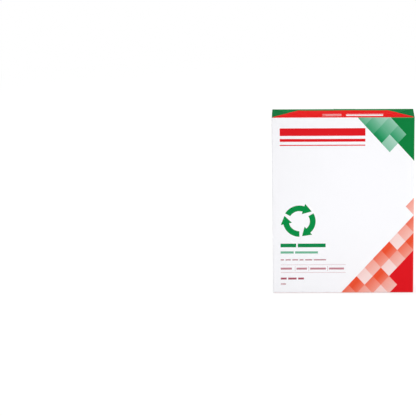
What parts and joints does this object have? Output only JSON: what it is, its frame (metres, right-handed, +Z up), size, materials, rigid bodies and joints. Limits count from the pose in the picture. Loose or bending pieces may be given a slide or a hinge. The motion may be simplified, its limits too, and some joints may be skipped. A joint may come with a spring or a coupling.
{
  "type": "wrapped ream of paper",
  "caption": "Sealed ream of letter-size copy paper in a printed wrapper, with envelope-folded ends and a lap seam down the back, standing on its short end.",
  "frame": {"origin": "under the middle of the pack, on the plane that it stands on", "axes": "+Z up along the sheets' length, +X to the right across the front panel, -Y out of the front panel"},
  "size_m": [0.2164, 0.0516, 0.2819],
  "materials": {
    "wrapping_paper": "coated white wrapping paper with a soft sheen, printed in red and green"
  },
  "bodies": {
    "root": {"wrapped_ream": "wrapping_paper"}
  },
  "joints": []
}
